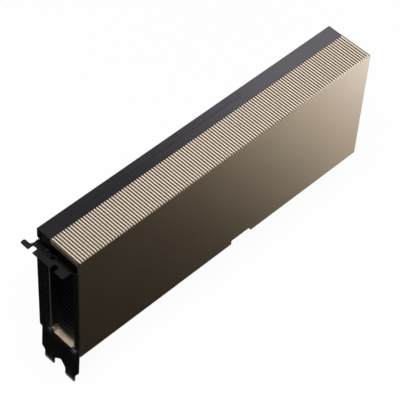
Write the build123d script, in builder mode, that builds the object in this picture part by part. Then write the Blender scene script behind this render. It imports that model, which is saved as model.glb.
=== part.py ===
"""A dual-slot, full-height, full-length passive accelerator card.

Frame, in millimetres: X runs along the card from the slot bracket to the far end, Y runs from the
shroud's front wall to the backplate, and Z points up. The origin is where the board's middle plane
meets its contact edge, at the centre of the connector key.
"""
from build123d import *
import os

# Outline of the card
card_length = 267.7
card_height = 111.15
component_side_height = 34.8
back_side_height = 2.67
board_thickness = 1.57
key_to_bracket = 57.15

# Shroud
shroud_lift = 11.9
front_wall = 1.2
top_wall = 4.0
floor_wall = 1.1
edge_chamfer = 0.6
end_chamfer = 0.4
rib_pitch = 2.17
groove_width = 1.085
groove_depth = 0.9
groove_front_land = 1.1
groove_end_land = 1.0
latch_notch_start = 83.2
latch_notch_length = 19.2
latch_notch_height = 3.7
latch_notch_slant = 2.0
latch_notch_round = 0.7

# Dark rail and its link covers
rail_width = 12.6
rail_height = 8.65
rail_wall = 1.5
rail_gap = 0.1
rail_edge_round = 0.35
link_count = 3
link_pitch = 56.35
link_first = 13.7
link_length = 48.4
link_depth = 6.0
link_seam = 0.2
link_tongue_length = 42.0
link_tongue_inset = 2.2
link_slot_clearance = 0.15

# Board
board_near_gap = 0.6
board_far_gap = 2.2
board_lower_edge = 8.25
board_upper_edge = 101.6
board_corner = 1.5
tongue_before_key = 12.6
tongue_after_key = 72.6
tongue_chamfer = 1.2
key_width = 1.9
key_depth = 7.6
hook_start = 79.2
hook_length = 5.8
hook_drop = 5.2
hook_nose = 1.5
hook_nose_height = 2.2

# Contacts
contact_pitch = 1.0
contact_width = 0.7
contact_length = 5.0
contact_lift = 0.9
contact_bevel = 0.45
contact_edge_gap = 1.5
contact_thickness = 0.05
contacts_before_key = 11
contacts_after_key = 71
link_contact_count = 8
link_contact_pitch = 5.0
link_contact_width = 3.6
link_contact_length = 4.0
link_contact_edge_gap = 0.8

# Slot bracket
sheet = 0.86
bracket_height = 120.02
flange_seat_height = 100.36
flange_reach = 9.9
bend_radius = 0.5
blade_front_inset = 0.6
blade_step = 2.25
blade_step_drop = 0.5
tongue_lean = 1.2
lean_start = 9.0
slot_pitch = 20.32
bracket_tongue_width = 9.4
back_tongue_offset = -6.65
bracket_tongue_length = 6.8
bracket_tongue_round = 1.4
shoulder_cut = 0.5
back_shoulder_rise = 2.8
front_shoulder_rise = 5.4
tongue_gap_rise = 4.6
tongue_gap_offset = 0.7
tongue_gap_flat = 1.5
flange_front_inset = 4.0
flange_back_inset = 1.2
tab_reach = 5.95
tab_width = 3.7
tab_inner_round = 2.2
tab_round = 1.1
screw_notch_offset = -1.22
screw_notch_width = 4.2
screw_notch_depth = 4.5
screw_notch_round = 1.1
flange_hole_radius = 2.1
flange_hole_reach = 2.75
flange_hole_offset = -14.9
window_front_inset = 4.5
window_back_inset = 11.3
window_lift = 2.2
window_top_gap = 5.2
window_round = 1.0
rib_press = 0.45
rib_width = 2.4
rib_window_gap = 0.9
ear_radius = 3.0
ear_screw_lift = 2.9
front_ear_inset = 5.05
back_ear_inset = 28.6

# Screws
bracket_screw_radius = 0.95
bracket_screw_length = 4.6
bracket_screw_head_radius = 1.9
bracket_screw_head_height = 0.7
socket_share = 0.6
hole_clearance = 0.15
boss_half = 2.6
boss_length = 5.0

# Heat sink
package_height = 1.8
ring_height = 0.7
die_height = 0.85
paste_thickness = 0.1
chamber_thickness = 3.9
chamber_length = 108.0
chamber_width = 72.0
chamber_round = 4.0
frame_thickness = 2.0
frame_clearance = 0.3
sink_base = 3.9
sink_rebate = 1.8
sink_near_gap = 6.4
sink_far_gap = 32.0
fin_pitch = 2.5
fin_thickness = 0.4
fin_front_gap = 0.4
sink_floor_gap = 0.3
sink_top_gap = 0.35
frame_near_gap = 0.3
frame_rib_chamber_gap = 1.0
frame_rib_rail_gap = 2.5
frame_rib_end_gap = 0.9
frame_rise = 4.0

# Processor package
package_center_x = 68.0
package_center_z = 56.0
package_size = 55.0
ring_width = 5.0
die_length = 26.0
die_width = 32.0
memory_length = 7.8
memory_width = 11.0
memory_gap = 1.0
memory_pitch = 11.6
memory_rows = 3

# Parts on the board
inductor_size = 7.4
inductor_height = 4.0
inductor_pitch = 9.2
inductors_per_row = 7
inductor_chamber_gap = 2.8
stage_length = 6.0
stage_width = 5.0
stage_height = 0.9
stage_gap = 1.6
tantalum_length = 7.3
tantalum_width = 4.3
tantalum_height = 2.0
tantalum_pitch = 9.2
tantalum_count = 6
tantalum_near_inset = 21.15
chip_size = 9.0
chip_height = 1.0
chip_stage_gap = 8.0
chip_pitch = 24.0
chip_count = 3

# Power inlet
cell_pitch = 4.2
cell_columns = 4
cell_rows = 2
cell_size = 3.5
cell_depth = 10.5
inlet_wall = 0.75
inlet_length = 22.0
inlet_upper_gap = 4.0
inlet_latch_width = 5.0
inlet_latch_height = 1.3
inlet_latch_length = 4.0
pin_size = 1.1
pin_length = 8.0
inlet_end_inset = 0.4

# End plate
end_sheet = 1.2
end_recess = 0.8
end_side_gap = 0.25
end_window_side = 4.5
end_window_ends = 9.5
end_window_web = 1.6
end_window_round = 2.0
end_corner = 1.5
bush_radius = 3.0
bush_length = 4.0
bush_side_inset = 5.2
bush_end_inset = 4.8
tapped_radius = 1.25
end_screw_radius = 0.95
end_screw_head = 1.8
end_screw_head_height = 0.7
end_screw_length = 6.0
end_screw_low = 9.1
end_screw_high = 34.5
end_boss_length = 7.0
end_boss_half = 1.8

# Backplate and the screws through the board
plate_thickness = 1.5
plate_near_gap = 0.3
plate_corner = 2.0
plate_edge_chamfer = 0.4
plate_rail_gap = 0.25
plate_screw_radius = 0.95
plate_screw_head = 1.9
plate_screw_length = 6.3
plate_screw_end_inset = 13.15
plate_screw_inlet_gap = 5.0
cooler_screw_span_x = 68.0
cooler_screw_span_z = 60.0
cooler_screw_radius = 1.2
cooler_screw_head = 2.6
cooler_screw_head_height = 1.6
cooler_thread_length = 2.4
cooler_post_radius = 2.6
cooler_post_gap = 0.2
cooler_hole_gap = 0.4
frame_screw_radius = 0.95
frame_screw_length = 4.4
frame_screw_head = 1.8
frame_screw_head_height = 0.9
frame_screw_end_inset = 27.15
frame_screw_low = 12.1
frame_screw_high = 14.5
thread_end_gap = 0.1
hidden_sides = 8
seen_sides = 16

# Planes of the card, worked out from the sizes above
near = -key_to_bracket
far = near + card_length
board_front = -board_thickness / 2
board_back = board_thickness / 2
front = board_front - component_side_height
back = board_back + back_side_height
top = card_height
floor_top = shroud_lift + floor_wall
rail_front = back - rail_width
rail_bottom = top - rail_height
die_top = board_front - package_height - die_height
chamber_back = die_top - paste_thickness
chamber_front = chamber_back - chamber_thickness
frame_back = chamber_front + frame_thickness
sink_back = chamber_front
fin_root = sink_back - sink_base
fin_front = front + front_wall + fin_front_gap
sink_near = near + sink_near_gap
sink_far = far - sink_far_gap
sink_bottom = floor_top + sink_floor_gap
sink_top = top - top_wall - sink_top_gap
blade_front = front + blade_front_inset
flange_top = flange_seat_height + sheet
tongue_end = flange_top - bracket_height
screw_height = shroud_lift + ear_screw_lift
plate_inner = back - plate_thickness
board_near = near + board_near_gap
board_far = far - board_far_gap
ear_places = (front + front_ear_inset, front + back_ear_inset)
ear_screws = [(y, screw_height) for y in ear_places]
link_tongue_top = top - rail_wall - link_tongue_inset
inlet_near = far - inlet_end_inset - inlet_length
plate_screw_x = (near + plate_screw_end_inset, package_center_x, inlet_near - plate_screw_inlet_gap)
frame_rib_low = package_center_z - chamber_width / 2 - frame_rib_chamber_gap
frame_rib_high = package_center_z + chamber_width / 2 + frame_rib_chamber_gap
frame_rib_top = rail_bottom - frame_rib_rail_gap
plate_screw_z = ((shroud_lift + frame_rib_low) / 2, (frame_rib_high + frame_rib_top) / 2)
plate_screws = [(x, z) for x in plate_screw_x for z in plate_screw_z]
frame_screw_x = (near + frame_screw_end_inset, sink_far - sink_near_gap)
frame_screw_z = (shroud_lift + frame_screw_low, rail_bottom - frame_screw_high)
frame_screw_places = [(x, z) for x in frame_screw_x for z in frame_screw_z]
end_screw_z = (shroud_lift + end_screw_low, rail_bottom - end_screw_high)
cooler_screws = [
    (package_center_x + sx * cooler_screw_span_x / 2, package_center_z + sz * cooler_screw_span_z / 2)
    for sx in (-1, 1)
    for sz in (-1, 1)
]


def at_x(x):
    """The plane across the card at x: a sketch on it runs along Y and Z, and extrudes to +X."""
    return Plane.YZ.offset(x)


def at_y(y):
    """The plane along the card at y: a sketch on it runs along X and Z, and extrudes to -Y."""
    return Plane.XZ.offset(-y)


def at_z(z):
    """The level plane at z."""
    return Plane.XY.offset(z)


def facing_back(y):
    """The plane along the card at y that faces the backplate: its second axis points down."""
    return Plane((0, y, 0), x_dir=(1, 0, 0), z_dir=(0, 1, 0))


def span(u0, u1, v0, v1, mode=Mode.ADD):
    """A rectangle between two corners of the sketch plane."""
    with Locations(((u0 + u1) / 2, (v0 + v1) / 2)):
        Rectangle(abs(u1 - u0), abs(v1 - v0), mode=mode)


def nearest(*points):
    """The corners of the sketch in work that lie nearest to the given points."""
    return [vertices().sort_by_distance((u, v, 0))[0] for u, v in points]


def drill(plane, places, radius, depth, sides=hidden_sides):
    """Holes down from the plane. They have few sides, to keep their facets few."""
    with BuildSketch(plane) as holes:
        with Locations(*places):
            RegularPolygon(radius, sides)
    extrude(holes.sketch, amount=depth, mode=Mode.SUBTRACT)


def shanks(plane, places, radius, length):
    """The shanks of screws, down from the plane, with as few sides as their holes."""
    with BuildSketch(plane) as prisms:
        with Locations(*places):
            RegularPolygon(radius, hidden_sides)
    extrude(prisms.sketch, amount=-length)


def pan_heads(plane, places, radius, height, socket_radius):
    """Round screw heads with a hexagon socket. The plane faces out of their seat."""
    with BuildSketch(plane) as heads:
        with Locations(*places):
            RegularPolygon(radius, seen_sides)
    extrude(heads.sketch, amount=height)
    with BuildSketch(plane.offset(height)) as sockets:
        with Locations(*places):
            RegularPolygon(socket_radius, 6)
    extrude(sockets.sketch, amount=-height * socket_share, mode=Mode.SUBTRACT)


def hexagon_heads(plane, places, radius, height):
    """Hexagon screw heads. The plane faces out of their seat."""
    with BuildSketch(plane) as heads:
        with Locations(*places):
            RegularPolygon(radius, 6)
    extrude(heads.sketch, amount=height)


def save(part, name):
    """Names a finished piece and writes its file."""
    part.part.label = name
    export_step(part.part, f"parts/{name}.step")


os.makedirs("parts", exist_ok=True)

# Shroud: one channel with a plain front wall, a ribbed top wall and a floor
floor_back = sink_back - frame_clearance
shroud_back = rail_front - rail_gap
groove_count = int((card_length - 2 * groove_end_land - groove_width) / rib_pitch) + 1
groove_front = front + groove_front_land
notch_end = latch_notch_start + latch_notch_length
pocket_near = latch_notch_start - floor_wall
pocket_far = notch_end + floor_wall
pocket_top = shroud_lift + latch_notch_height + floor_wall
with BuildPart() as shroud:
    with BuildSketch(at_x(near)):
        with BuildLine():
            Polyline(
                (floor_back, shroud_lift),
                (front, shroud_lift),
                (front, top),
                (shroud_back, top),
                (shroud_back, top - top_wall),
                (front + front_wall, top - top_wall),
                (front + front_wall, floor_top),
                (floor_back, floor_top),
                close=True,
            )
        make_face()
    extrude(amount=card_length)
    front_edges = shroud.edges().filter_by(Axis.X).group_by(Axis.Y)[0]
    chamfer(front_edges.sort_by(Axis.Z)[-1], edge_chamfer)
    upright = shroud.edges().filter_by(Axis.Z).group_by(Axis.Y)[0]
    chamfer(upright, end_chamfer)
    # Bosses on the floor that take the bracket's two screws
    with BuildSketch(at_x(near)):
        for y in ear_places:
            span(y - boss_half, y + boss_half, shroud_lift, screw_height + boss_half)
    extrude(amount=boss_length)
    drill(at_x(near), ear_screws, bracket_screw_radius + hole_clearance, boss_length)
    # Pocket over the slot's latch, closed above by a raised part of the floor
    with BuildSketch(at_y(front)):
        span(pocket_near, pocket_far, shroud_lift, pocket_top)
    extrude(amount=front - floor_back)
    with BuildSketch(at_y(front)):
        with BuildLine():
            Polyline(
                (latch_notch_start, shroud_lift),
                (latch_notch_start, shroud_lift + latch_notch_height),
                (notch_end - latch_notch_slant, shroud_lift + latch_notch_height),
                (notch_end, shroud_lift),
                close=True,
            )
        notch_face = make_face()
        fillet(notch_face.vertices().group_by(Axis.Y)[-1], latch_notch_round)
    extrude(amount=front - floor_back, mode=Mode.SUBTRACT)
    # Ribs, left standing between milled grooves
    with BuildSketch(at_z(top)):
        with Locations((near + card_length / 2, (groove_front + shroud_back) / 2)):
            with GridLocations(rib_pitch, 0, groove_count, 1):
                Rectangle(groove_width, shroud_back - groove_front)
    extrude(amount=-groove_depth, mode=Mode.SUBTRACT)
save(shroud, "shroud")

# Dark rail over the top of the board, with a bay for each link cover
link_starts = [near + link_first + link_pitch * i for i in range(link_count)]
link_front = back - link_depth
with BuildPart() as top_rail:
    with BuildSketch(at_x(near)):
        span(rail_front, back, rail_bottom, top)
    extrude(amount=card_length)
    long_edges = top_rail.edges().filter_by(Axis.X).group_by(Axis.Z)[-1]
    fillet(long_edges, rail_edge_round)
    with BuildSketch(at_x(near + rail_wall)):
        span(rail_front + rail_wall, back - rail_wall, rail_bottom, top - rail_wall)
    extrude(amount=card_length - 2 * rail_wall, mode=Mode.SUBTRACT)
    with BuildSketch(at_z(top)):
        for start in link_starts:
            span(start, start + link_length, link_front, back)
    extrude(amount=-rail_height, mode=Mode.SUBTRACT)
save(top_rail, "top_rail")

# Link covers: caps that close the rail's bays and slip over the board's link tongues
for number, start in enumerate(link_starts, 1):
    cap_near = start + link_seam
    cap_far = start + link_length - link_seam
    cap_front = link_front + link_seam
    slot_half = board_thickness / 2 + contact_thickness + link_slot_clearance
    tongue_mid = start + link_length / 2
    slot_reach = link_tongue_length / 2 + link_slot_clearance
    with BuildPart() as link_cover:
        with BuildSketch(at_x(cap_near)):
            span(cap_front, back, rail_bottom, top)
        extrude(amount=cap_far - cap_near)
        cap_edges = link_cover.edges().filter_by(Axis.X).group_by(Axis.Z)[-1]
        fillet(cap_edges.sort_by(Axis.Y)[-1], rail_edge_round)
        with BuildSketch(at_z(rail_bottom)):
            span(tongue_mid - slot_reach, tongue_mid + slot_reach, -slot_half, slot_half)
        extrude(amount=link_tongue_top + link_slot_clearance - rail_bottom, mode=Mode.SUBTRACT)
    save(link_cover, f"link_cover_{number}")

# Board: contact tongue with its key, latch hook, link tongues and the holes for every screw through it
hook_low = board_lower_edge - hook_drop
key_round = key_width / 2
with BuildPart() as circuit_board:
    with BuildSketch(at_y(board_back)):
        span(board_near, board_far, board_lower_edge, board_upper_edge)
        fillet(vertices(), board_corner)
        span(-tongue_before_key, tongue_after_key, 0, board_lower_edge + board_corner)
        tongue_corners = vertices().group_by(Axis.Y)[0]
        chamfer(tongue_corners, tongue_chamfer)
        span(hook_start + hook_nose, hook_start + hook_length, hook_low, board_lower_edge + board_corner)
        span(hook_start, hook_start + hook_length, hook_low, hook_low + hook_nose_height)
        for start in link_starts:
            middle = start + link_length / 2
            span(
                middle - link_tongue_length / 2,
                middle + link_tongue_length / 2,
                board_upper_edge - board_corner,
                link_tongue_top,
            )
        span(-key_round, key_round, 0, key_depth - key_round, mode=Mode.SUBTRACT)
        with Locations((0, key_depth - key_round)):
            Circle(key_round, mode=Mode.SUBTRACT)
    extrude(amount=board_thickness)
    drill(at_y(board_back), plate_screws, plate_screw_radius + hole_clearance, board_thickness)
    drill(at_y(board_back), cooler_screws, cooler_screw_radius + hole_clearance, board_thickness)
    contact_edges = circuit_board.edges().filter_by(Axis.X).group_by(Axis.Z)[0]
    chamfer(contact_edges, contact_bevel)
save(circuit_board, "circuit_board")

# Contacts of the tongue, both sides
pad_half = contact_width / 2
pad_top = contact_lift + contact_length
pads_before = [-(contact_edge_gap + contact_pitch * i) for i in range(contacts_before_key)]
pads_after = [contact_edge_gap + contact_pitch * i for i in range(contacts_after_key)]
with BuildPart() as edge_contacts:
    for side in (at_y(board_front), at_y(board_back + contact_thickness)):
        with BuildSketch(side):
            for x in pads_before + pads_after:
                span(x - pad_half, x + pad_half, contact_lift, pad_top)
        extrude(amount=contact_thickness)
save(edge_contacts, "edge_contacts")

# Contacts of the link tongues, both sides
with BuildPart() as link_contacts:
    for side in (at_y(board_front), at_y(board_back + contact_thickness)):
        with BuildSketch(side):
            for start in link_starts:
                contact_mid = link_tongue_top - link_contact_edge_gap - link_contact_length / 2
                with Locations((start + link_length / 2, contact_mid)):
                    with GridLocations(link_contact_pitch, 0, link_contact_count, 1):
                        Rectangle(link_contact_width, link_contact_length)
        extrude(amount=contact_thickness)
save(link_contacts, "link_contacts")

# Slot bracket: one folded sheet. Its side profile is drawn first and then cut to the blank's outline
back_tongue = back_tongue_offset
front_tongue = back_tongue_offset - slot_pitch
tongue_half = bracket_tongue_width / 2
shoulder = tongue_end + bracket_tongue_length
gap_top = shoulder + tongue_gap_rise
gap_middle = (back_tongue + front_tongue) / 2 - tongue_gap_offset
gap_half = tongue_gap_flat / 2
blade_top = flange_seat_height - bend_radius
flange_outer = near - flange_reach
flange_front = front + flange_front_inset
flange_back = back - flange_back_inset
tab_back = flange_back + tab_reach
notch_half = screw_notch_width / 2
notch_inner = flange_outer + screw_notch_depth
notch_places = (screw_notch_offset, screw_notch_offset - slot_pitch)
window_front = front + window_front_inset
window_back = back - window_back_inset
window_bottom = shroud_lift + window_lift
window_top = flange_seat_height - window_top_gap
ear_top = screw_height + ear_radius
tongue_face = near - tongue_lean
cut_reach = tongue_lean + 2 * sheet
blade_step_height = shroud_lift - blade_step_drop
with BuildSketch(at_x(near - cut_reach)) as blade_outline:
    with BuildLine():
        Polyline(
            (blade_front, blade_top),
            (blade_front, shoulder + front_shoulder_rise),
            (front_tongue - tongue_half, shoulder),
            (front_tongue - tongue_half, tongue_end),
            (front_tongue + tongue_half, tongue_end),
            (front_tongue + tongue_half, shoulder),
            (gap_middle - gap_half, gap_top),
            (gap_middle + gap_half, gap_top),
            (back_tongue - tongue_half, shoulder),
            (back_tongue - tongue_half, tongue_end),
            (back_tongue + tongue_half, tongue_end),
            (back_tongue + tongue_half, shoulder),
            (back - blade_step, shoulder + back_shoulder_rise),
            (back - blade_step, blade_step_height),
            (back, blade_step_height),
            (back, blade_top),
            close=True,
        )
    make_face()
    tongue_corners = vertices().group_by(Axis.Y)[0]
    fillet(tongue_corners, bracket_tongue_round)
    shoulder_corners = nearest(
        (blade_front, shoulder + front_shoulder_rise),
        (front_tongue - tongue_half, shoulder),
        (front_tongue + tongue_half, shoulder),
        (back_tongue - tongue_half, shoulder),
        (back_tongue + tongue_half, shoulder),
        (back - blade_step, shoulder + back_shoulder_rise),
        (back - blade_step, blade_step_height),
        (back, blade_step_height),
    )
    chamfer(shoulder_corners, shoulder_cut)
with BuildSketch(at_x(near - cut_reach)) as window_outline:
    span(window_front, window_back, window_bottom, window_top)
    fillet(vertices(), window_round)
    for y in ear_places:
        span(y - ear_radius, y + ear_radius, shroud_lift, screw_height, mode=Mode.SUBTRACT)
        with Locations((y, screw_height)):
            Circle(ear_radius, mode=Mode.SUBTRACT)
with BuildSketch(at_z(blade_top)) as flange_outline:
    span(flange_outer, near, flange_front, flange_back)
    span(flange_outer, flange_outer + tab_width, flange_back, tab_back)
    fillet(nearest((flange_outer, tab_back), (flange_outer + tab_width, tab_back)), tab_round)
    fillet(nearest((flange_outer + tab_width, flange_back)), tab_inner_round)
    for y in notch_places:
        span(flange_outer, notch_inner, y - notch_half, y + notch_half, mode=Mode.SUBTRACT)
        fillet(nearest((notch_inner, y - notch_half), (notch_inner, y + notch_half)), screw_notch_round)
    with Locations((near - flange_hole_reach, flange_hole_offset)):
        Circle(flange_hole_radius, mode=Mode.SUBTRACT)
with BuildPart() as bracket_blank:
    extrude(blade_outline.sketch, amount=cut_reach)
    extrude(window_outline.sketch, amount=cut_reach, mode=Mode.SUBTRACT)
    extrude(flange_outline.sketch, amount=flange_top - blade_top)
with BuildPart() as bracket:
    with BuildSketch(at_y(blade_front)):
        with BuildLine():
            Polyline(
                (flange_outer, flange_top),
                (near, flange_top),
                (near, lean_start),
                (tongue_face, tongue_end),
                (tongue_face - sheet, tongue_end),
                (near - sheet, lean_start),
                (near - sheet, flange_seat_height),
                (flange_outer, flange_seat_height),
                close=True,
            )
        make_face()
        fillet(nearest((near, flange_top)), bend_radius + sheet)
        fillet(nearest((near - sheet, flange_seat_height)), bend_radius)
    extrude(amount=blade_front - tab_back)
    add(bracket_blank.part, mode=Mode.INTERSECT)
    drill(at_x(near - sheet), ear_screws, bracket_screw_radius + hole_clearance, sheet)
    # Pressed rib beside the window: out of the outer face and into the inner one
    rib_front = window_back + rib_window_gap
    for face, mode in ((near - sheet, Mode.ADD), (near, Mode.SUBTRACT)):
        with BuildSketch(at_x(face)):
            span(rib_front, rib_front + rib_width, ear_top + rib_width, window_top)
            fillet(vertices(), rib_width / 3)
        extrude(amount=-rib_press, mode=mode)
save(bracket, "bracket")

# Screws of the bracket, from outside into the shroud's bosses
with BuildPart() as bracket_screws:
    outside = Plane((near - sheet, 0, 0), x_dir=(0, -1, 0), z_dir=(-1, 0, 0))
    places = [(-y, z) for y, z in ear_screws]
    socket_radius = bracket_screw_radius * socket_share
    pan_heads(outside, places, bracket_screw_head_radius, bracket_screw_head_height, socket_radius)
    shanks(outside, places, bracket_screw_radius, bracket_screw_length)
save(bracket_screws, "bracket_screws")

# Power inlet: two rows of cells in a housing that stands on the board at the far end
inlet_far = far - inlet_end_inset
inlet_front = board_front - cell_rows * cell_pitch - 2 * inlet_wall
inlet_high = rail_bottom - inlet_upper_gap
inlet_low = inlet_high - cell_columns * cell_pitch - 2 * inlet_wall
inlet_middle = ((inlet_front + board_front) / 2, (inlet_low + inlet_high) / 2)
with BuildPart() as power_connector:
    with BuildSketch(at_x(inlet_near)):
        span(inlet_front, board_front, inlet_low, inlet_high)
    extrude(amount=inlet_length)
    with BuildSketch(at_x(inlet_far)):
        with Locations(inlet_middle):
            with GridLocations(cell_pitch, cell_pitch, cell_rows, cell_columns):
                Rectangle(cell_size, cell_size)
    extrude(amount=-cell_depth, mode=Mode.SUBTRACT)
    # Ramp that the plug's latch snaps over
    with BuildSketch(at_z(inlet_middle[1] - inlet_latch_width / 2)):
        with BuildLine():
            Polyline(
                (inlet_far, inlet_front),
                (inlet_far - inlet_latch_length, inlet_front - inlet_latch_height),
                (inlet_far - inlet_latch_length, inlet_front),
                close=True,
            )
        make_face()
    extrude(amount=inlet_latch_width)
save(power_connector, "power_connector")

with BuildPart() as power_pins:
    with BuildSketch(at_x(inlet_far - cell_depth)):
        with Locations(inlet_middle):
            with GridLocations(cell_pitch, cell_pitch, cell_rows, cell_columns):
                Rectangle(pin_size, pin_size)
    extrude(amount=pin_length)
save(power_pins, "power_pins")

# Fin stack: a base with a rebate under the rail, and thin fins that run the length of the card
base_top = rail_bottom - rail_gap
fin_count = int((sink_top - sink_bottom - fin_thickness) / fin_pitch) + 1
fin_root_overlap = sink_rebate / 2
with BuildPart() as fin_stack:
    with BuildSketch(at_x(sink_near)):
        with BuildLine():
            Polyline(
                (fin_root, sink_bottom),
                (sink_back, sink_bottom),
                (sink_back, base_top),
                (fin_root + sink_rebate, base_top),
                (fin_root + sink_rebate, sink_top),
                (fin_root, sink_top),
                close=True,
            )
        make_face()
        with Locations(((fin_front + fin_root + fin_root_overlap) / 2, (sink_bottom + sink_top) / 2)):
            with GridLocations(fin_pitch, fin_pitch, 1, fin_count):
                Rectangle(fin_root + fin_root_overlap - fin_front, fin_thickness)
    extrude(amount=sink_far - sink_near)
    # Relief over the shroud's latch pocket
    with BuildSketch(at_y(sink_back)):
        span(
            pocket_near - sink_floor_gap,
            pocket_far + sink_floor_gap,
            sink_bottom,
            pocket_top + sink_floor_gap,
        )
    extrude(amount=sink_back - fin_front, mode=Mode.SUBTRACT)
    grip = frame_screw_length - frame_thickness + thread_end_gap
    drill(at_y(sink_back), frame_screw_places, frame_screw_radius + hole_clearance, grip)
save(fin_stack, "fin_stack")

# Vapor chamber: a flat plate set in the frame's window, with a post for each of the cooler's screws
chamber_area = (chamber_length, chamber_width)
with BuildPart() as vapor_chamber:
    with BuildSketch(at_y(chamber_back)):
        with Locations((package_center_x, package_center_z)):
            RectangleRounded(*chamber_area, chamber_round)
    extrude(amount=chamber_thickness)
    with BuildSketch(at_y(board_front - cooler_post_gap)):
        with Locations(*cooler_screws):
            RegularPolygon(cooler_post_radius, hidden_sides)
    extrude(amount=board_front - cooler_post_gap - chamber_back)
    thread = cooler_thread_length + thread_end_gap
    drill(at_y(board_front - cooler_post_gap), cooler_screws, cooler_screw_radius + hole_clearance, thread)
save(vapor_chamber, "vapor_chamber")

# Frame between the board and the fin stack: it carries the board, the rail and the end plate
end_inner = far - end_recess - end_sheet
frame_near = near + boss_length + frame_clearance
frame_middle = frame_back - frame_thickness / 2
boss_top = screw_height + boss_half
with BuildPart() as base_frame:
    with BuildSketch(at_y(frame_back)):
        span(frame_near, end_inner, shroud_lift, rail_bottom + frame_rise)
        span(near + frame_near_gap, frame_near, boss_top + frame_clearance, rail_bottom - frame_clearance)
        with Locations((package_center_x, package_center_z)):
            RectangleRounded(
                chamber_length + 2 * frame_clearance,
                chamber_width + 2 * frame_clearance,
                chamber_round + frame_clearance,
                mode=Mode.SUBTRACT,
            )
        span(
            inlet_near - frame_clearance,
            end_inner,
            inlet_low - frame_clearance,
            inlet_high + frame_clearance,
            mode=Mode.SUBTRACT,
        )
    extrude(amount=frame_thickness)
    # Ribs that stand on the board along both of its edges and hold the backplate's screws
    with BuildSketch(at_y(board_front)):
        span(frame_near, end_inner - frame_rib_end_gap, shroud_lift, frame_rib_low)
        span(frame_near, inlet_near - frame_clearance, frame_rib_high, frame_rib_top)
    extrude(amount=board_front - frame_back)
    drill(at_y(board_front), plate_screws, plate_screw_radius + hole_clearance, board_front - frame_back)
    drill(at_y(frame_back), frame_screw_places, frame_screw_radius + hole_clearance, frame_thickness)
    with BuildSketch(at_x(end_inner)):
        for z in end_screw_z:
            span(frame_middle - end_boss_half, frame_middle + end_boss_half, z - end_boss_half, z + end_boss_half)
    extrude(amount=-end_boss_length)
    end_screws = [(frame_middle, z) for z in end_screw_z]
    drill(at_x(end_inner), end_screws, end_screw_radius + hole_clearance, -end_screw_length)
save(base_frame, "base_frame")

# Screws from the frame into the fin stack's base
with BuildPart() as frame_screws:
    places = [(x, -z) for x, z in frame_screw_places]
    hexagon_heads(facing_back(frame_back), places, frame_screw_head, frame_screw_head_height)
    shanks(facing_back(frame_back), places, frame_screw_radius, frame_screw_length)
save(frame_screws, "frame_screws")

# Screws that draw the vapor chamber onto the processor, from behind the board
with BuildPart() as cooler_screw_set:
    places = [(x, -z) for x, z in cooler_screws]
    hexagon_heads(facing_back(board_back), places, cooler_screw_head, cooler_screw_head_height)
    shanks(facing_back(board_back), places, cooler_screw_radius, board_thickness + cooler_thread_length)
save(cooler_screw_set, "cooler_screws")

# Plate across the far end: air window, opening for the power inlet and two tapped bushes for a support
end_front = front + front_wall + end_side_gap
end_bottom = floor_top + end_side_gap
end_high = top - top_wall - end_side_gap
bush_places = (
    (end_front + bush_side_inset, end_bottom + bush_end_inset),
    (end_front + bush_side_inset, end_high - bush_end_inset),
)
inlet_clear_front = inlet_front - inlet_latch_height - frame_clearance
with BuildPart() as end_plate:
    with BuildSketch(at_x(end_inner)):
        with BuildLine():
            Polyline(
                (end_front, end_bottom),
                (plate_inner - end_side_gap, end_bottom),
                (plate_inner - end_side_gap, rail_bottom - end_side_gap),
                (rail_front - end_side_gap, rail_bottom - end_side_gap),
                (rail_front - end_side_gap, end_high),
                (end_front, end_high),
                close=True,
            )
        make_face()
        outer_corners = nearest(
            (end_front, end_bottom),
            (end_front, end_high),
            (plate_inner - end_side_gap, end_bottom),
            (plate_inner - end_side_gap, rail_bottom - end_side_gap),
        )
        fillet(outer_corners, end_corner)
        span(
            inlet_clear_front,
            board_front,
            inlet_low - frame_clearance,
            inlet_high + frame_clearance,
            mode=Mode.SUBTRACT,
        )
    extrude(amount=end_sheet)
    with BuildSketch(at_x(end_inner)):
        span(
            end_front + end_window_side,
            inlet_clear_front - end_window_web,
            end_bottom + end_window_ends,
            end_high - end_window_ends,
        )
        fillet(vertices(), end_window_round)
    extrude(amount=end_sheet, mode=Mode.SUBTRACT)
    with BuildSketch(at_x(end_inner)):
        with Locations(*bush_places):
            RegularPolygon(bush_radius, 6)
    extrude(amount=-bush_length)
    with BuildSketch(at_x(end_inner + end_sheet)):
        with Locations(*bush_places):
            Circle(tapped_radius)
    extrude(amount=-bush_length - end_sheet, mode=Mode.SUBTRACT)
    drill(at_x(end_inner), end_screws, end_screw_radius + hole_clearance, end_sheet)
save(end_plate, "end_plate")

with BuildPart() as end_plate_screws:
    outside = at_x(far - end_recess)
    pan_heads(outside, end_screws, end_screw_head, end_screw_head_height, end_screw_radius * socket_share)
    shanks(outside, end_screws, end_screw_radius, end_screw_length)
save(end_plate_screws, "end_plate_screws")

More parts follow.
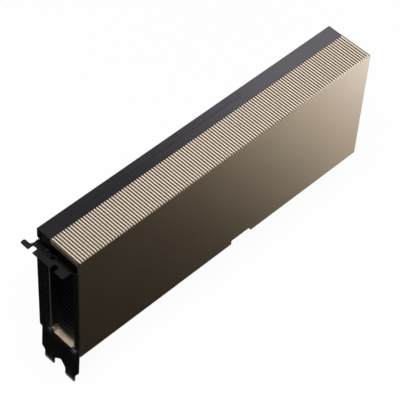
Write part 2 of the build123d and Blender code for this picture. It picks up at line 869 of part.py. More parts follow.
# Backplate with its ribs, countersunk holes and clear holes over the cooler's screws
with BuildPart() as backplate:
    with BuildSketch(at_y(back)):
        span(near + plate_near_gap, far, shroud_lift, rail_bottom - plate_rail_gap)
        fillet(vertices(), plate_corner)
    extrude(amount=plate_thickness)
    chamfer(backplate.edges().group_by(Axis.Y)[-1], plate_edge_chamfer)
    # Ribs that stand on the board, behind the frame's
    with BuildSketch(at_y(plate_inner)):
        span(frame_near, end_inner - frame_rib_end_gap, shroud_lift, frame_rib_low)
        span(frame_near, end_inner - frame_rib_end_gap, frame_rib_high, frame_rib_top)
    extrude(amount=plate_inner - board_back)
    drill(at_y(back), plate_screws, plate_screw_radius + hole_clearance, back - board_back)
    with BuildSketch(facing_back(back)):
        with Locations(*[(x, -z) for x, z in plate_screws]):
            RegularPolygon(plate_screw_head + hole_clearance, seen_sides)
    extrude(amount=plate_screw_radius - plate_screw_head, taper=45, mode=Mode.SUBTRACT)
    drill(at_y(back), cooler_screws, cooler_screw_head + cooler_hole_gap, plate_thickness, seen_sides)
save(backplate, "backplate")

# Flat head screws of the backplate, through the board into the frame's ribs
with BuildPart() as backplate_screws:
    places = [(x, -z) for x, z in plate_screws]
    with BuildSketch(facing_back(back)):
        with Locations(*places):
            RegularPolygon(plate_screw_head, seen_sides)
    extrude(amount=plate_screw_radius - plate_screw_head, taper=45)
    shanks(facing_back(back), places, plate_screw_radius, plate_screw_length)
    with BuildSketch(facing_back(back)):
        with Locations(*places):
            RegularPolygon(plate_screw_radius * socket_share, 6)
    extrude(amount=-plate_screw_radius * socket_share, mode=Mode.SUBTRACT)
save(backplate_screws, "backplate_screws")

# Processor package: substrate, stiffening ring, die, memory stacks and the paste over them
package_top = board_front - package_height
package_center = (package_center_x, package_center_z)
memory_offset = die_length / 2 + memory_gap + memory_length / 2
with BuildPart() as package_substrate:
    with BuildSketch(at_y(board_front)):
        with Locations(package_center):
            Rectangle(package_size, package_size)
    extrude(amount=package_height)
save(package_substrate, "package_substrate")

with BuildPart() as package_ring:
    with BuildSketch(at_y(package_top)):
        with Locations(package_center):
            Rectangle(package_size, package_size)
            Rectangle(package_size - 2 * ring_width, package_size - 2 * ring_width, mode=Mode.SUBTRACT)
    extrude(amount=ring_height)
save(package_ring, "package_ring")

with BuildPart() as processor_die:
    with BuildSketch(at_y(package_top)):
        with Locations(package_center):
            Rectangle(die_length, die_width)
    extrude(amount=die_height)
save(processor_die, "processor_die")

with BuildPart() as memory_stacks:
    with BuildSketch(at_y(package_top)):
        with Locations(package_center):
            with GridLocations(2 * memory_offset, memory_pitch, 2, memory_rows):
                Rectangle(memory_length, memory_width)
    extrude(amount=die_height)
save(memory_stacks, "memory_stacks")

with BuildPart() as thermal_paste:
    with BuildSketch(at_y(die_top)):
        with Locations(package_center):
            Rectangle(2 * memory_offset + memory_length, memory_pitch * (memory_rows - 1) + memory_width)
    extrude(amount=paste_thickness)
save(thermal_paste, "thermal_paste")

# Power parts in a column each side of the package, with a thermal pad between inductors and frame
inductor_row = chamber_length / 2 + inductor_chamber_gap + inductor_size / 2
stage_offset = inductor_row + inductor_size / 2 + stage_gap + stage_length / 2
with BuildPart() as inductors:
    with BuildSketch(at_y(board_front)):
        with Locations(package_center):
            with GridLocations(2 * inductor_row, inductor_pitch, 2, inductors_per_row):
                Rectangle(inductor_size, inductor_size)
    extrude(amount=inductor_height)
save(inductors, "inductors")

with BuildPart() as inductor_pads:
    with BuildSketch(at_y(board_front - inductor_height)):
        with Locations(package_center):
            with GridLocations(2 * inductor_row, inductor_pitch, 2, 1):
                Rectangle(inductor_size, inductor_pitch * (inductors_per_row - 1) + inductor_size)
    extrude(amount=board_front - inductor_height - frame_back)
save(inductor_pads, "inductor_pads")

with BuildPart() as power_stages:
    with BuildSketch(at_y(board_front)):
        with Locations(package_center):
            with GridLocations(2 * stage_offset, inductor_pitch, 2, inductors_per_row):
                Rectangle(stage_length, stage_width)
    extrude(amount=stage_height)
save(power_stages, "power_stages")

with BuildPart() as tantalum_capacitors:
    with BuildSketch(at_y(board_front)):
        with Locations((near + tantalum_near_inset, package_center_z)):
            with GridLocations(tantalum_pitch, tantalum_pitch, 1, tantalum_count):
                Rectangle(tantalum_length, tantalum_width)
    extrude(amount=tantalum_height)
save(tantalum_capacitors, "tantalum_capacitors")

chip_row = package_center_x + stage_offset + stage_length / 2 + chip_stage_gap + chip_size / 2
with BuildPart() as controller_chips:
    with BuildSketch(at_y(board_front)):
        with Locations((chip_row, package_center_z)):
            with GridLocations(chip_pitch, chip_pitch, 1, chip_count):
                Rectangle(chip_size, chip_size)
    extrude(amount=chip_height)
save(controller_chips, "controller_chips")
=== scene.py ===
import bpy, bmesh, math
from mathutils import Matrix, Vector


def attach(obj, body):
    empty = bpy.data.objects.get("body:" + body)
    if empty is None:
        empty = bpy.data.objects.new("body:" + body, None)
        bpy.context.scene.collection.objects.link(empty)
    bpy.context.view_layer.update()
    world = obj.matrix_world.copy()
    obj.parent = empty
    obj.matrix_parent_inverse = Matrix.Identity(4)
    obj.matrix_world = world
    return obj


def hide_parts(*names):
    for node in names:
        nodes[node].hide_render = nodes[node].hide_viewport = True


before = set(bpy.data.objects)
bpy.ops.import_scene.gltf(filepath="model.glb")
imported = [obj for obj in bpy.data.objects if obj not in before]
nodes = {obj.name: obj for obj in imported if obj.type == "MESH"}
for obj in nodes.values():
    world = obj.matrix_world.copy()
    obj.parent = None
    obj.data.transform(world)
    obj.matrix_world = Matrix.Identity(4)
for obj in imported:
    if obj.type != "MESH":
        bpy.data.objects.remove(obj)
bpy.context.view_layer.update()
print("loaded", len(nodes), "nodes of the card")

mm = 0.001
toneA, toneB, toneOut = 6, 7, 2   # a colour mix's sockets: its two colours and its outcome


# Small helpers for colours, nodes and materials

def linearColour(text):   # "#rrggbb" in sRGB to linear, opaque
    values = [int(text[i:i + 2], 16) / 255 for i in (1, 3, 5)]
    return tuple(v / 12.92 if v <= 0.04045 else ((v + 0.055) / 1.055) ** 2.4 for v in values) + (1.0,)


def addNode(tree, kind, settings=None, links=None):   # settings go to properties or sockets
    node = tree.nodes.new(kind)
    for key, value in (settings or {}).items():
        if isinstance(key, int) or key in node.inputs:
            node.inputs[key].default_value = value
        else:
            setattr(node, key, value)
    for key, socket in (links or {}).items():
        tree.links.new(socket, node.inputs[key])
    return node


def startMaterial(name, base, metallic, roughness, more=None):   # with the shader's plain values set
    material = bpy.data.materials.new(name)
    material.use_nodes = True
    shader = material.node_tree.nodes["Principled BSDF"]
    shader.inputs["Base Color"].default_value = linearColour(base)
    shader.inputs["Metallic"].default_value = metallic
    shader.inputs["Roughness"].default_value = roughness
    for socket, value in (more or {}).items():
        shader.inputs[socket].default_value = value
    material.diffuse_color = linearColour(base)
    return material, material.node_tree, shader


def grainFinish(look):   # tone that drifts, grit in gloss and height, and softened edges; sizes in mm
    material, tree, shader = startMaterial(
        look["name"], look["base"], look["metallic"], sum(look["roughness"]) / 2, look.get("more"))
    place = addNode(tree, "ShaderNodeTexCoord").outputs["Object"]
    along = addNode(tree, "ShaderNodeMapping", {"Scale": look.get("stretch", (1, 1, 1))}, {"Vector": place})
    drift = addNode(tree, "ShaderNodeTexNoise", {"Scale": 1 / (look["drift"] * mm), "Detail": 3.0}, {
        "Vector": place})
    tones = addNode(tree, "ShaderNodeMix", {
        "data_type": "RGBA", toneA: linearColour(look["tones"][0]), toneB: linearColour(look["tones"][1]),
    }, {0: drift.outputs["Fac"]})
    tree.links.new(tones.outputs[toneOut], shader.inputs["Base Color"])
    grit = addNode(tree, "ShaderNodeTexNoise", {"Scale": 1 / (look["grit"] * mm), "Detail": 2.0}, {
        "Vector": along.outputs["Vector"]})
    gloss = addNode(tree, "ShaderNodeMapRange", {
        "To Min": look["roughness"][0], "To Max": look["roughness"][1],
    }, {"Value": grit.outputs["Fac"]})
    tree.links.new(gloss.outputs["Result"], shader.inputs["Roughness"])
    bump = addNode(tree, "ShaderNodeBump", {"Strength": look["relief"], "Distance": look["depth"] * mm}, {
        "Height": grit.outputs["Fac"]})
    if "edge" in look:   # the broken edge of the real piece, as a rounded normal
        edge = addNode(tree, "ShaderNodeBevel", {"samples": 6, "Radius": look["edge"] * mm})
        tree.links.new(edge.outputs["Normal"], bump.inputs["Normal"])
    tree.links.new(bump.outputs["Normal"], shader.inputs["Normal"])
    return material, tree, {"shader": shader, "place": place, "tones": tones, "bump": bump}


def insideBox(tree, axes, look):   # 1 where the split place lies in the look's box, given in mm
    share = None
    for axis, start, end in zip("XYZ", look["low"], look["high"]):
        near = addNode(tree, "ShaderNodeMath", {
            "operation": "COMPARE", 1: (start + end) / 2 * mm, 2: (end - start) / 2 * mm,
        }, {0: axes.outputs[axis]}).outputs[0]
        if share:
            near = addNode(tree, "ShaderNodeMath", {"operation": "MULTIPLY"}, {0: share, 1: near}).outputs[0]
        share = near
    return share


def paintBox(tree, axes, look, under, over=None, where=None):   # over a tone, inside the look's box
    share = insideBox(tree, axes, look)
    if where:
        share = addNode(tree, "ShaderNodeMath", {"operation": "MULTIPLY"}, {0: share, 1: where}).outputs[0]
    plain = {} if over else {toneB: linearColour(look["colour"])}
    linked = {toneB: over} if over else {}
    painted = addNode(tree, "ShaderNodeMix", {"data_type": "RGBA", **plain}, {
        0: share, toneA: under, **linked})
    return painted.outputs[toneOut]


def dress(material, *names):   # the finish of CAD nodes
    for name in names:
        nodes[name].data.materials.clear()
        nodes[name].data.materials.append(material)


# Camera, turned and framed as in the photograph

camera = {
    "azimuth": -47.501, "elevation": 49.877, "roll": 3.929, "distance": 1.17305,
    "target": (0.07670, -0.01619, 0.06154), "slide": (-0.005609, -0.008795),
    "lens": 156.654, "sensor": 36.0, "near": 0.05, "far": 20,
}
turn, rise, roll = (math.radians(camera[k]) for k in ("azimuth", "elevation", "roll"))
back = Vector((math.sin(turn) * math.cos(rise), -math.cos(turn) * math.cos(rise), math.sin(rise)))
levelRight = Vector((math.cos(turn), math.sin(turn), 0))
levelUp = back.cross(levelRight)
right = levelRight * math.cos(roll) + levelUp * math.sin(roll)
up = levelUp * math.cos(roll) - levelRight * math.sin(roll)
spot = Vector(camera["target"]) + back * camera["distance"]
spot = spot + right * camera["slide"][0] + up * camera["slide"][1]
lensData = bpy.data.cameras.new("studioCamera")
lensData.lens, lensData.sensor_width = camera["lens"], camera["sensor"]
lensData.clip_start, lensData.clip_end = camera["near"], camera["far"]
cameraObject = bpy.data.objects.new("studioCamera", lensData)
scene = bpy.context.scene
scene.collection.objects.link(cameraObject)
cameraObject.matrix_world = Matrix((
    (right.x, up.x, back.x, spot.x),
    (right.y, up.y, back.y, spot.y),
    (right.z, up.z, back.z, spot.z),
    (0, 0, 0, 1),
))
scene.camera = cameraObject
print("camera set")


# Studio: pale floor, soft lamps, and graduated cards that only reflections show

studio = {
    "floorHeight": -0.0192, "floorSize": 14.0,
    "floorColour": "#f7f7f7", "floorRoughness": 0.9, "floorGlow": 0.94,
    "worldColour": "#ffffff", "worldStrength": 0.40,
    "lamps": {   # place, aim, width and height in m, watts, spread in degrees
        "overheadBox": ((-0.15, -0.30, 1.25), (0.08, -0.02, 0.06), (0.9, 0.9), 12.0, 180),
        "frontFill": ((-0.70, -0.75, 0.45), (0.05, -0.02, 0.05), (0.6, 0.6), 2.5, 180),
        # the lit strip in the bracket's window
        "windowAccent": ((-0.1153, -0.0208, 0.1172), (-0.0552, -0.0208, 0.0135), (0.028, 0.0035), 0.0038, 1),
    },
    "cards": {   # lowest corner, highest corner, and the tone's steps along X: place in m, colour, strength
        "lowCard": ((-0.60, -0.75, -0.0185), (0.70, -0.035, -0.0185), [
            (-0.08, "#ffeeda", 0.015), (0.00, "#ffeed6", 0.027), (0.04, "#ffeed6", 0.040),
            (0.07, "#fff0da", 0.060), (0.10, "#fff3e2", 0.090), (0.13, "#fff5e8", 0.158),
            (0.16, "#fff8ed", 0.266), (0.19, "#fffaf2", 0.425), (0.22, "#fffaf3", 0.640),
            (0.25, "#fff9f2", 0.860), (0.275, "#fcfaff", 1.110), (0.30, "#f9f9ff", 1.450),
            (0.38, "#f7f8ff", 2.450),
        ]),
        "sideCard": ((-0.40, -0.035, -0.0185), (-0.06, 0.120, -0.0185), [
            (-0.40, "#ffffff", 0.900), (-0.30, "#ffffff", 0.400), (-0.22, "#fff8f2", 0.060),
            (-0.18, "#fff2e8", 0.014), (-0.06, "#fff2e8", 0.014),
        ]),
        "highCard": ((-0.34, -0.40, 0.62), (1.50, 1.00, 0.62), [
            (0.18, "#f8f8ff", 0.40), (0.25, "#f8f8ff", 0.36), (0.27, "#f8f8ff", 0.20),
            (0.31, "#f8f8ff", 0.17), (0.36, "#f8f8ff", 0.38), (0.42, "#fafaff", 1.05),
            (0.50, "#f9f9ff", 2.55), (0.60, "#f9f9ff", 2.50), (1.50, "#f9f9ff", 2.50),
        ]),
    },
}
scene.view_settings.view_transform = "Standard"


def whereSeen(tree):   # 1 for rays that show the background: from the camera, mirrored, through a clear piece
    rays = addNode(tree, "ShaderNodeLightPath")
    either = addNode(tree, "ShaderNodeMath", {"operation": "MAXIMUM"}, {
        0: rays.outputs["Is Camera Ray"], 1: rays.outputs["Is Glossy Ray"]})
    return addNode(tree, "ShaderNodeMath", {"operation": "MAXIMUM"}, {
        0: either.outputs[0], 1: rays.outputs["Is Transmission Ray"]}).outputs[0]


world = bpy.data.worlds.new("studioWorld")
scene.world = world
world.use_nodes = True
tree = world.node_tree
dim = tree.nodes["Background"]
dim.inputs["Color"].default_value = linearColour(studio["worldColour"])
dim.inputs["Strength"].default_value = studio["worldStrength"]
bright = addNode(tree, "ShaderNodeBackground", {
    "Color": linearColour(studio["worldColour"]), "Strength": 1.0})
blend = addNode(tree, "ShaderNodeMixShader", None, {
    0: whereSeen(tree), 1: dim.outputs[0], 2: bright.outputs[0]})
tree.links.new(blend.outputs["Shader"], tree.nodes["World Output"].inputs["Surface"])

bpy.ops.object.select_all(action="DESELECT")
bpy.ops.mesh.primitive_plane_add(size=studio["floorSize"], location=(0, 0, studio["floorHeight"]))
floor = bpy.context.object
floor.name = "studioFloor"
floorMaterial, tree, shader = startMaterial(
    "paleStudioFloor", studio["floorColour"], 0.0, studio["floorRoughness"], {"Specular IOR Level": 0.0})
share = addNode(tree, "ShaderNodeMath", {"operation": "MULTIPLY", 1: studio["floorGlow"]}, {
    0: whereSeen(tree)})
white = addNode(tree, "ShaderNodeEmission", {"Color": (1, 1, 1, 1), "Strength": 1.0})
blend = addNode(tree, "ShaderNodeMixShader", None, {
    0: share.outputs[0], 1: shader.outputs["BSDF"], 2: white.outputs["Emission"]})
tree.links.new(blend.outputs["Shader"], tree.nodes["Material Output"].inputs["Surface"])
floor.data.materials.append(floorMaterial)

for name, (low, high, steps) in studio["cards"].items():
    bpy.ops.object.select_all(action="DESELECT")
    bpy.ops.mesh.primitive_plane_add(size=1, location=(Vector(low) + Vector(high)) / 2)
    card = bpy.context.object
    card.name = name
    card.scale = (high[0] - low[0], high[1] - low[1], 1)
    bpy.ops.object.transform_apply(location=True, scale=True)
    material, tree, shader = startMaterial(name + "Tone", "#000000", 0.0, 1.0)
    where = addNode(tree, "ShaderNodeTexCoord")
    axes = addNode(tree, "ShaderNodeSeparateXYZ", None, {0: where.outputs["Object"]})
    first, last = steps[0][0], steps[-1][0]
    along = addNode(tree, "ShaderNodeMapRange", {"From Min": first, "From Max": last}, {
        "Value": axes.outputs["X"]})
    ramp = addNode(tree, "ShaderNodeValToRGB", None, {0: along.outputs["Result"]})
    ramp.color_ramp.interpolation = "LINEAR"
    stops = ramp.color_ramp.elements
    stops[0].position, stops[1].position = 0.0, 1.0
    for x, colour, strength in steps[1:-1]:
        stops.new((x - first) / (last - first))
    for stop, (x, colour, strength) in zip(stops, steps):
        stop.color = [value * strength for value in linearColour(colour)[:3]] + [1]
    glow = addNode(tree, "ShaderNodeEmission", {"Strength": 1.0}, {"Color": ramp.outputs["Color"]})
    tree.links.new(glow.outputs["Emission"], tree.nodes["Material Output"].inputs["Surface"])
    card.data.materials.append(material)
    card.visible_camera = card.visible_diffuse = card.visible_shadow = card.visible_transmission = False

for name, (spot, aim, size, watts, spread) in studio["lamps"].items():
    lamp = bpy.data.lights.new(name, "AREA")
    lamp.shape, lamp.size, lamp.size_y = "RECTANGLE", size[0], size[1]
    lamp.energy, lamp.spread = watts, math.radians(spread)
    lampObject = bpy.data.objects.new(name, lamp)
    lampObject.visible_camera = False
    scene.collection.objects.link(lampObject)
    lampObject.location = spot
    lampObject.rotation_euler = (Vector(aim) - Vector(spot)).to_track_quat("-Z", "Y").to_euler()
print("studio set")


# Backplate and shroud: aluminium, bead blasted and anodised in champagne. A satin metal whose tone
# comes from what it reflects. The blast grain of 0.1 mm is drawn at 0.45 mm so that it shows.
champagneLook = {
    "name": "champagneAnodisedAluminium", "base": "#b8a994", "metallic": 1.0, "roughness": (0.29, 0.35),
    "tones": ("#b2a38e", "#beaf9a"), "drift": 40.0, "grit": 0.45, "relief": 0.10, "depth": 0.02, "edge": 0.05,
}
dress(grainFinish(champagneLook)[0], "backplate")

# The shroud's ribs are milled with a rounded crown, which the flat crests get from a height along X.
# The crests' tone is painted brighter and a shade pinker than the blasted faces, a painted highlight on the
# lit top.
crownLook = {
    "pitch": 2.17, "middle": 76.7, "crown": 0.065, "lean": 0.22, "fall": 16.0,
    "lowest": 111.0, "drift": 9.0, "tones": ("#b5a796", "#c0b3a2"),
}
shroudMaterial, tree, parts = grainFinish(dict(champagneLook, name="champagneAnodisedShroud"))
axes = addNode(tree, "ShaderNodeSeparateXYZ", None, {0: parts["place"]})
step = addNode(tree, "ShaderNodeMath", {
    "operation": "MULTIPLY_ADD",
    1: 1 / (crownLook["pitch"] * mm), 2: -crownLook["middle"] / crownLook["pitch"],
}, {0: axes.outputs["X"]})
repeated = addNode(tree, "ShaderNodeMath", {"operation": "WRAP", 1: 0.5, 2: -0.5}, {0: step.outputs[0]})
leaned = addNode(tree, "ShaderNodeMath", {"operation": "ADD", 1: crownLook["lean"]}, {0: repeated.outputs[0]})
square = addNode(tree, "ShaderNodeMath", {"operation": "MULTIPLY"}, {
    0: leaned.outputs[0], 1: leaned.outputs[0]})
dome = addNode(tree, "ShaderNodeMath", {"operation": "MULTIPLY", 1: -crownLook["fall"]}, {
    0: square.outputs[0]})
onCrest = addNode(tree, "ShaderNodeMath", {"operation": "GREATER_THAN", 1: crownLook["lowest"] * mm}, {
    0: axes.outputs["Z"]})
crown = addNode(tree, "ShaderNodeBump", {"Distance": crownLook["crown"] * mm}, {
    "Strength": onCrest.outputs[0], "Height": dome.outputs[0], "Normal": parts["bump"].outputs["Normal"]})
tree.links.new(crown.outputs["Normal"], parts["shader"].inputs["Normal"])
crestDrift = addNode(tree, "ShaderNodeTexNoise", {"Scale": 1 / (crownLook["drift"] * mm), "Detail": 3.0}, {
    "Vector": parts["place"]})
# Painted highlight: the crests on top get a brighter, pinker tone than the faces
paintedCrestHighlight = addNode(tree, "ShaderNodeMix", {
    "data_type": "RGBA",
    toneA: linearColour(crownLook["tones"][0]), toneB: linearColour(crownLook["tones"][1]),
}, {0: crestDrift.outputs["Fac"]})
byPlace = addNode(tree, "ShaderNodeMix", {"data_type": "RGBA"}, {
    0: onCrest.outputs[0], toneA: parts["tones"].outputs[toneOut], toneB: paintedCrestHighlight.outputs[toneOut]})

# Grooves between the ribs, painted darker: painted shade in the recesses
grooveShadeLook = {"colour": "#9f9280", "low": (-57.3, -34.6, 110.0), "high": (212.0, 5.0, 110.95)}
painted = paintBox(tree, axes, grooveShadeLook, byPlace.outputs[toneOut])

# Turned rings of the bush behind the window's corner
ringsLook = {
    "colour": "#39332b", "low": (-60.0, -34.6, 12.6), "high": (-49.5, -26.5, 18.5),
    "pitch": 2.0, "share": 0.35,
}
turns = addNode(tree, "ShaderNodeMath", {"operation": "MULTIPLY", 1: 1 / (ringsLook["pitch"] * mm)}, {
    0: axes.outputs["X"]})
within = addNode(tree, "ShaderNodeMath", {"operation": "PINGPONG", 1: 0.5}, {0: turns.outputs[0]})
inRing = addNode(tree, "ShaderNodeMath", {"operation": "LESS_THAN", 1: ringsLook["share"] / 2}, {
    0: within.outputs[0]})
painted = paintBox(tree, axes, ringsLook, painted, where=inRing.outputs[0])

# Land in front of the grooves, in line with them: a painted reflection, dark towards the bracket and pale at
# the far end
landReflectionLook = {
    "near": "#4c4136", "far": "#e8dac8", "from": 125.0, "to": 190.0, "share": 0.25,
    "low": (-60.0, -35.7, 110.45), "high": (212.0, -34.5, 111.3),
}
along = addNode(tree, "ShaderNodeMapRange", {
    "From Min": landReflectionLook["from"] * mm, "From Max": landReflectionLook["to"] * mm,
}, {"Value": axes.outputs["X"]})
paintedLandReflection = addNode(tree, "ShaderNodeMix", {
    "data_type": "RGBA", toneA: linearColour(landReflectionLook["near"]), toneB: linearColour(landReflectionLook["far"]),
}, {0: along.outputs["Result"]})
fromCrest = addNode(tree, "ShaderNodeMath", {"operation": "ABSOLUTE"}, {0: repeated.outputs[0]})
beforeGroove = addNode(tree, "ShaderNodeMath", {"operation": "GREATER_THAN", 1: landReflectionLook["share"]}, {
    0: fromCrest.outputs[0]})
painted = paintBox(tree, axes, landReflectionLook, painted, paintedLandReflection.outputs[toneOut], beforeGroove.outputs[0])

# Land before the first rib, painted dark: painted shade matching the shaded end face below it
endShadeLook = {"colour": "#1d150f", "low": (-56.95, -35.7, 110.45), "high": (-56.25, 5.0, 111.3)}
painted = paintBox(tree, axes, endShadeLook, painted)

# Sawn edge at the far end, painted grey
farLook = {"colour": "#504f56", "low": (209.95, -35.7, 11.0), "high": (210.7, 5.0, 111.3)}
tree.links.new(paintBox(tree, axes, farLook, painted), parts["shader"].inputs["Base Color"])
dress(shroudMaterial, "shroud")

# Top rail: aluminium, anodised near black. Fine satin that turns grey where it reflects the light.
railLook = {
    "name": "darkAnodisedRail", "base": "#424042", "metallic": 1.0, "roughness": (0.22, 0.28),
    "tones": ("#3f3d3f", "#464446"), "drift": 30.0, "grit": 0.4, "relief": 0.12, "depth": 0.02, "edge": 0.08,
}
dress(grainFinish(railLook)[0], "top_rail")

# Link covers: moulded plastic, painted with a metallic lacquer to match the rail, a shade flatter
coverLook = {
    "name": "lacqueredLinkCovers", "base": "#413f41", "metallic": 1.0, "roughness": (0.24, 0.30),
    "tones": ("#3e3c3e", "#454345"), "drift": 22.0, "grit": 0.35, "relief": 0.12, "depth": 0.02, "edge": 0.05,
}
dress(grainFinish(coverLook)[0], "link_cover_1", "link_cover_2", "link_cover_3")

# Bracket: steel sheet with a black powder coat, a faint orange peel of 0.6 mm and a satin skin. The window's
# punched edge is painted grey, a painted highlight.
coatLook = {
    "name": "blackPowderCoat", "base": "#050505", "metallic": 0.0, "roughness": (0.22, 0.28),
    "tones": ("#040404", "#060606"), "drift": 12.0, "grit": 0.6, "relief": 0.12, "depth": 0.01, "edge": 0.20,
    "more": {"Specular IOR Level": 0.5},
}
# Painted highlight: a grey line on the window's punched edge
jambHighlightLook = {"colour": "#454340", "low": (-60.0, -8.0, 19.0), "high": (-56.0, -7.7, 106.0)}
coatMaterial, tree, parts = grainFinish(coatLook)
axes = addNode(tree, "ShaderNodeSeparateXYZ", None, {0: parts["place"]})
painted = paintBox(tree, axes, jambHighlightLook, parts["tones"].outputs[toneOut])
tree.links.new(painted, parts["shader"].inputs["Base Color"])
dress(coatMaterial, "bracket")

# End plate: steel sheet with the same coat, left flatter
flatCoatLook = dict(
    coatLook, name="flatBlackPowderCoat", roughness=(0.38, 0.46), more={"Specular IOR Level": 0.3})
dress(grainFinish(flatCoatLook)[0], "end_plate")

# Screws of bracket, end plate and backplate: steel with a black oxide, oiled, so the edges glint
oxideLook = {
    "name": "blackOxideSteel", "base": "#43464f", "metallic": 1.0, "roughness": (0.24, 0.34),
    "tones": ("#3b3e46", "#4e515a"), "drift": 1.5, "grit": 0.25, "relief": 0.12, "depth": 0.01, "edge": 0.06,
}
oxideMaterial = grainFinish(oxideLook)[0]
dress(oxideMaterial, "bracket_screws", "end_plate_screws", "backplate_screws")

# Screws of cooler and frame: steel, zinc plated. Bluish white metal with light tool marks.
zincLook = {
    "name": "zincPlatedSteel", "base": "#b9bcc0", "metallic": 1.0, "roughness": (0.26, 0.36),
    "tones": ("#aeb1b5", "#c4c7cb"), "drift": 1.5, "grit": 0.2, "relief": 0.12, "depth": 0.01,
}
zincMaterial = grainFinish(zincLook)[0]
dress(zincMaterial, "cooler_screws", "frame_screws")

# Board: glass laminate under a dark green solder mask. The mask is glossy and stands up over the copper
# tracks, which run down to the contacts at 1 mm steps.
maskLook = {
    "name": "greenSolderMask", "base": "#17301f", "metallic": 0.0, "roughness": (0.26, 0.36),
    "tones": ("#142b1b", "#1b3725"), "drift": 9.0, "grit": 0.8, "relief": 0.10, "depth": 0.02,
}
trackLook = {
    "colour": "#2b5238", "pitch": 1.0, "share": 0.32, "height": 0.03, "strength": 0.6,
    "low": (-12.0, -4.0, 5.9), "high": (72.0, 4.0, 12.6),
}
maskMaterial, tree, parts = grainFinish(maskLook)
axes = addNode(tree, "ShaderNodeSeparateXYZ", None, {0: parts["place"]})
step = addNode(tree, "ShaderNodeMath", {"operation": "MULTIPLY", 1: 1 / (trackLook["pitch"] * mm)}, {
    0: axes.outputs["X"]})
across = addNode(tree, "ShaderNodeMath", {"operation": "PINGPONG", 1: 0.5}, {0: step.outputs[0]})
inTrack = addNode(tree, "ShaderNodeMath", {"operation": "LESS_THAN", 1: trackLook["share"] / 2}, {
    0: across.outputs[0]})
track = addNode(tree, "ShaderNodeMath", {"operation": "MULTIPLY"}, {
    0: inTrack.outputs[0], 1: insideBox(tree, axes, trackLook)})
overCopper = addNode(tree, "ShaderNodeMix", {"data_type": "RGBA", toneB: linearColour(trackLook["colour"])}, {
    0: track.outputs[0], toneA: parts["tones"].outputs[toneOut]})
tree.links.new(overCopper.outputs[toneOut], parts["shader"].inputs["Base Color"])
raised = addNode(tree, "ShaderNodeBump", {
    "Strength": trackLook["strength"], "Distance": trackLook["height"] * mm,
}, {"Height": track.outputs[0], "Normal": parts["bump"].outputs["Normal"]})
tree.links.new(raised.outputs["Normal"], parts["shader"].inputs["Normal"])
dress(maskMaterial, "circuit_board")

# Contacts: copper under hard gold plating, bright, with faint wipe marks along Z
goldLook = {
    "name": "hardGoldPlating", "base": "#d9b061", "metallic": 1.0, "roughness": (0.18, 0.30),
    "tones": ("#d0a654", "#e2bb70"), "drift": 3.0, "grit": 0.12, "relief": 0.08, "depth": 0.005,
    "stretch": (1, 1, 0.1),
}
dress(grainFinish(goldLook)[0], "edge_contacts", "link_contacts")

# Fins: thin aluminium sheet, rolled, then anodised black. Rolling lines of 0.3 mm run along X. Every second
# fin is painted lighter and the others darker, painted light and shade, so the two tones follow the fins and
# don't drift.
finLook = {
    "name": "blackAnodisedFins", "base": "#343439", "metallic": 1.0, "roughness": (0.34, 0.46),
    "tones": ("#1c1c20", "#3d3d46"), "drift": 8.0, "grit": 0.3, "relief": 0.15, "depth": 0.01,
    "stretch": (0.05, 1, 1), "edge": 0.12, "litStep": 5.0, "litShare": 0.25,
}
finMaterial, tree, parts = grainFinish(finLook)
axes = addNode(tree, "ShaderNodeSeparateXYZ", None, {0: parts["place"]})
# Painted light and shade: bands along Z, one fin lighter and the next darker
litTurns = addNode(tree, "ShaderNodeMath", {"operation": "MULTIPLY", 1: 1 / (finLook["litStep"] * mm)}, {
    0: axes.outputs["Z"]})
litPhase = addNode(tree, "ShaderNodeMath", {"operation": "PINGPONG", 1: 0.5}, {0: litTurns.outputs[0]})
paintedLitFin = addNode(tree, "ShaderNodeMath", {"operation": "GREATER_THAN", 1: finLook["litShare"]}, {
    0: litPhase.outputs[0]})
tree.links.new(paintedLitFin.outputs[0], parts["tones"].inputs[0])
dress(finMaterial, "fin_stack")

# Base frame: die-cast aluminium, blasted and anodised black, rougher than the fins
castLook = {
    "name": "blackAnodisedCasting", "base": "#1a1a1c", "metallic": 1.0, "roughness": (0.46, 0.58),
    "tones": ("#171719", "#1e1e20"), "drift": 15.0, "grit": 0.5, "relief": 0.3, "depth": 0.03,
}
dress(grainFinish(castLook)[0], "base_frame")

# Vapor chamber: pressed copper sheet, lapped along X, warm where it has begun to dull
copperLook = {
    "name": "lappedCopper", "base": "#c08563", "metallic": 1.0, "roughness": (0.28, 0.40),
    "tones": ("#b47756", "#ca9170"), "drift": 10.0, "grit": 0.25, "relief": 0.12, "depth": 0.01,
    "stretch": (0.08, 1, 1),
}
dress(grainFinish(copperLook)[0], "vapor_chamber")

# Thermal paste: silicone grease filled with metal oxide, dull grey, pressed flat with small swirls
pasteLook = {
    "name": "greyThermalPaste", "base": "#8d8d8b", "metallic": 0.0, "roughness": (0.48, 0.62),
    "tones": ("#848482", "#979795"), "drift": 3.0, "grit": 0.7, "relief": 0.5, "depth": 0.04,
}
dress(grainFinish(pasteLook)[0], "thermal_paste")

# Package substrate: organic laminate with a smooth green mask
laminateLook = {
    "name": "packageLaminate", "base": "#1f4a35", "metallic": 0.0, "roughness": (0.28, 0.38),
    "tones": ("#1b422f", "#24533c"), "drift": 6.0, "grit": 0.4, "relief": 0.1, "depth": 0.01,
}
dress(grainFinish(laminateLook)[0], "package_substrate")

# Package ring: stamped copper, nickel plated, a warm white metal
ringLook = {
    "name": "nickelPlatedRing", "base": "#b5b0a6", "metallic": 1.0, "roughness": (0.24, 0.34),
    "tones": ("#aca79d", "#beb9af"), "drift": 8.0, "grit": 0.3, "relief": 0.1, "depth": 0.01, "edge": 0.08,
}
dress(grainFinish(ringLook)[0], "package_ring")

# Processor die: silicon, ground and polished on its back, nearly a mirror
dieLook = {
    "name": "polishedSilicon", "base": "#3b3c44", "metallic": 0.4, "roughness": (0.10, 0.15),
    "tones": ("#36373e", "#42434b"), "drift": 10.0, "grit": 0.5, "relief": 0.02, "depth": 0.002,
}
dress(grainFinish(dieLook)[0], "processor_die")

